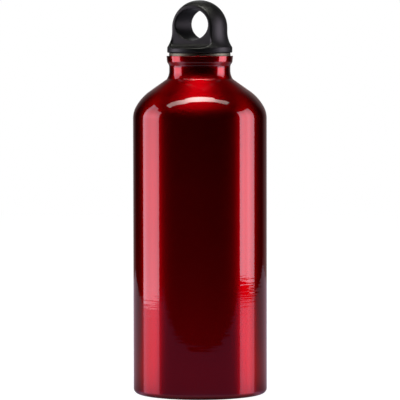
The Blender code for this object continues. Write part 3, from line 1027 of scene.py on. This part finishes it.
def evenly(first, last, steps):
    """Numbers from the first to the last in equal steps."""
    return [first + (last - first) * index / steps for index in range(steps + 1)]


def read_curve(place, stops):
    """The value of a curve of straight stretches between (place, value) stops."""
    return float(np.interp(place, [stop[0] for stop in stops], [stop[1] for stop in stops]))


def empty_graph(owner):
    """Give a material or a world an empty node tree, and return its helper."""
    owner.use_nodes = True
    owner.node_tree.nodes.clear()
    return Graph(owner.node_tree)


def glow_material(name, colour):
    """Light in one colour, as strong as the mesh's own glow values say."""
    material = bpy.data.materials.new(name)
    graph = empty_graph(material)
    light = graph.light((*colour, 1.0), graph.mesh_value("glow"))
    graph.add("ShaderNodeOutputMaterial", {"Surface": light})
    return material


def side_panel(name, distance, feet, tops, glows, height_shares):
    """A tall curved lamp beside the bottle.

    The curves feet, tops and glows give its lower edge, its upper edge and its glow over the
    azimuth. The curve height_shares says how much of the glow is left at each height.
    """
    columns = []
    values = []
    for azimuth in evenly(tops[0][0], tops[-1][0], PANEL_COLUMNS):
        heights = evenly(read_curve(azimuth, feet), read_curve(azimuth, tops), STAGE_ROWS)
        columns.append([stage_point(azimuth, distance, height) for height in heights])
        glow = read_curve(azimuth, glows)
        values.append([glow * read_curve(height, height_shares) for height in heights])
    material = glow_material(name, PANEL_COLOUR)
    stage_grid(name, columns, material, ("diffuse", "glossy"), {"glow": values})


def overhead_lamp():
    """A flat lamp above the bottle, whose glow fades out at its front and back edges."""
    columns = []
    values = []
    for place in evenly(OVERHEAD_FRONTS[0][0], OVERHEAD_FRONTS[-1][0], OVERHEAD_COLUMNS):
        front = read_curve(place, OVERHEAD_FRONTS)
        back = read_curve(place, OVERHEAD_BACKS)
        nears = [edge + side * OVERHEAD_EDGE for edge in (front, back) for side in (1, -1)]
        columns.append([stage_offset(place, near, OVERHEAD_HEIGHT) for near in nears])
        glow = read_curve(place, OVERHEAD_GLOWS)
        values.append([0.0, glow, glow, 0.0])
    material = glow_material("overhead_lamp", OVERHEAD_COLOUR)
    stage_grid("overhead_lamp", columns, material, ("diffuse", "glossy"), {"glow": values})


def dark_room():
    """Black flags all round, which only reflections see, turning grey towards the back.

    White shows through the gap behind the bottle, between the first and last azimuth.
    """
    columns = []
    values = []
    heights = evenly(ROOM_FLOOR, ROOM_CEILING, STAGE_ROWS)
    for azimuth in evenly(-ROOM_LAST_AZIMUTH, ROOM_LAST_AZIMUTH, ROOM_COLUMNS):
        columns.append([stage_point(azimuth, ROOM_RADIUS, height) for height in heights])
        backness = -math.cos(math.radians(azimuth + BACKDROP_TURN))
        glow = read_curve(backness, BACKDROP_GLOWS)
        shares = [read_curve(height, BACKDROP_HEIGHT_SHARES) for height in heights]
        values.append([FLAG_GLOW + glow * share for share in shares])
    material = glow_material("dark_flags", (1.0, 1.0, 1.0))
    stage_grid("dark_flags", columns, material, ("glossy",), {"glow": values})
    lid_values = {"glow": [[FLAG_GLOW] * 2] * 2}
    for name, height in (("flag_floor", ROOM_FLOOR), ("flag_ceiling", ROOM_CEILING)):
        stage_grid(name, square(ROOM_RADIUS, height), material, ("glossy",), lid_values)


def table_material():
    """Satin whose glow, which changes with how it is looked at, is painted reflection of the lamps.

    The mesh carries one glow for steep looks, which is cut for looks straight down, and one for
    flat looks, which turn it violet where it is dim. The sheen is stronger for flat looks too.
    """
    material = bpy.data.materials.new("table_top")
    graph = empty_graph(material)
    facing = graph.facing()
    flat_glow = graph.mesh_value("flat_glow")
    steep_share = graph.between(facing, TABLE_DOWN_SHARE, 1.0, *TABLE_DOWN_FACINGS)
    steep_glow = graph.arithmetic("MULTIPLY", graph.mesh_value("steep_glow"), steep_share)
    flatness = graph.between(facing, 0.0, 1.0, *TABLE_FLAT_FACINGS)
    glow = graph.between(flatness, steep_glow, flat_glow, 0.0, 1.0)
    flat_blue = graph.between(flat_glow, TABLE_VIOLET, TABLE_BLUE, *TABLE_VIOLET_GLOWS)
    blue = graph.between(flatness, TABLE_BLUE, flat_blue, 0.0, 1.0)
    hue = graph.add("ShaderNodeCombineColor", {"Red": 1.0, "Green": 0.97, "Blue": blue})
    # Painted reflection: this glow stands in for lamplight that a satin top would reflect
    light = graph.light(hue.outputs[0], glow)
    sheen = graph.between(facing, *TABLE_SHEENS, *TABLE_SHEEN_FACINGS)
    sheen_blue = graph.arithmetic("MULTIPLY", sheen, TABLE_SHEEN_BLUE)
    tint = graph.add("ShaderNodeCombineColor", {"Red": sheen, "Green": sheen, "Blue": sheen_blue})
    mirror = graph.add("ShaderNodeBsdfAnisotropic", {"Color": tint.outputs[0], "Roughness": 0.2})
    both = graph.both(mirror.outputs[0], light)
    graph.add("ShaderNodeOutputMaterial", {"Surface": both})
    return material


def edge_distance(ahead, first, second):
    """How far along a direction from the axis the line through two points is crossed."""
    edge = Vector(second) - Vector(first)
    across = ahead.x * edge.y - ahead.y * edge.x
    if abs(across) < TINY:
        return -1.0
    return (first[0] * edge.y - first[1] * edge.x) / across


def table():
    """The table round the bottle, in rings out to its four straight edges."""
    edges = list(zip(TABLE_CORNERS, TABLE_CORNERS[1:] + TABLE_CORNERS[:1]))
    columns = []
    flat_glows = []
    steep_glows = []
    for azimuth in evenly(-180.0, 180.0, TABLE_COLUMNS):
        turn = math.radians(azimuth)
        ahead = Vector((math.sin(turn), math.cos(turn)))
        crossings = [edge_distance(ahead, first, second) for first, second in edges]
        reach = min(crossing for crossing in crossings if crossing > 0)
        distances = (*TABLE_RING_RADII, reach)
        columns.append([stage_point(azimuth, distance, 0) for distance in distances])
        backness = (1 - math.cos(turn)) / 2
        flat_glow = TABLE_FRONT_GLOW + TABLE_BACK_GLOW * backness ** TABLE_GLOW_POWER
        flat_glows.append([flat_glow] * len(distances))
        steep_glow = read_curve(abs(azimuth), TABLE_STEEP_GLOWS)
        near = read_curve(abs(azimuth), TABLE_NEAR_SHARES)
        far = read_curve(abs(azimuth), TABLE_FAR_SHARES)
        edge = read_curve(abs(azimuth), TABLE_EDGE_SHARES)
        # One share for each ring, from under the bottle out to the edge
        shares = (0.0, TABLE_FOOT_SHARE * near, near, 1.0, 1.0, far, far, edge, edge)
        steep_glows.append([steep_glow * share for share in shares])
    values = {"flat_glow": flat_glows, "steep_glow": steep_glows}
    stage_grid("table_top", columns, table_material(), ("glossy",), values)


def pale_floor():
    """The white floor that the camera sees, which keeps a soft shadow of the bottle."""
    material = bpy.data.materials.new("pale_floor")
    graph = empty_graph(material)
    rays = graph.add("ShaderNodeLightPath").outputs
    seen = graph.both(graph.matt(FLOOR_SHADOW_GREY), graph.light(WHITE, FLOOR_GLOW))
    mix = graph.add(
        "ShaderNodeMixShader", {0: rays["Is Camera Ray"], 1: graph.matt(FLOOR_GREY), 2: seen}
    )
    graph.add("ShaderNodeOutputMaterial", {"Surface": mix.outputs[0]})
    seen_by = ("camera", "diffuse", "transmission", "shadow")
    stage_grid("pale_floor", square(FLOOR_RADIUS, 0), material, seen_by)


def white_world():
    """White for the camera, for reflections and through glass, and a soft even light besides."""
    world = bpy.data.worlds.new("studio")
    bpy.context.scene.world = world
    graph = empty_graph(world)
    rays = graph.add("ShaderNodeLightPath").outputs
    seen = graph.arithmetic("ADD", rays["Is Camera Ray"], rays["Is Glossy Ray"])
    seen = graph.arithmetic("ADD", seen, rays["Is Transmission Ray"])
    strength = graph.between(seen, AMBIENT_GLOW, 1.0, 0.0, 1.0)
    background = graph.add("ShaderNodeBackground", {"Color": WHITE, "Strength": strength})
    graph.add("ShaderNodeOutputWorld", {"Surface": background.outputs[0]})


def make_stage():
    """Lamps, flags, table, floor and world."""
    side_panel("left_panel", LEFT_DISTANCE, LEFT_FEET, LEFT_TOPS, LEFT_GLOWS, LEFT_HEIGHT_SHARES)
    side_panel(
        "right_panel", RIGHT_DISTANCE, RIGHT_FEET, RIGHT_TOPS, RIGHT_GLOWS, RIGHT_HEIGHT_SHARES
    )
    overhead_lamp()
    dark_room()
    table()
    pale_floor()
    white_world()


def make_camera():
    """The photograph's view: a long lens at a little above the bottle's height."""
    data = bpy.data.cameras.new("camera")
    data.lens = CAMERA_LENS
    data.sensor_width = CAMERA_SENSOR
    camera = bpy.data.objects.new("camera", data)
    camera.location = stage_point(0, CAMERA_DISTANCE, CAMERA_HEIGHT)
    aim = Vector((0, 0, CAMERA_AIM_HEIGHT)) - camera.location
    roll = Quaternion((0, 0, 1), math.radians(CAMERA_ROLL))
    camera.rotation_euler = (aim.to_track_quat("-Z", "Y") @ roll).to_euler()
    bpy.context.scene.collection.objects.link(camera)
    bpy.context.scene.camera = camera


def main():
    """Make the pieces and the stage."""
    plastic = black_plastic()
    make_shell()
    make_ring()
    make_seal()
    make_stem(plastic)
    make_cap(plastic)
    make_stage()
    make_camera()
    bpy.context.scene.view_settings.view_transform = "Standard"


main()
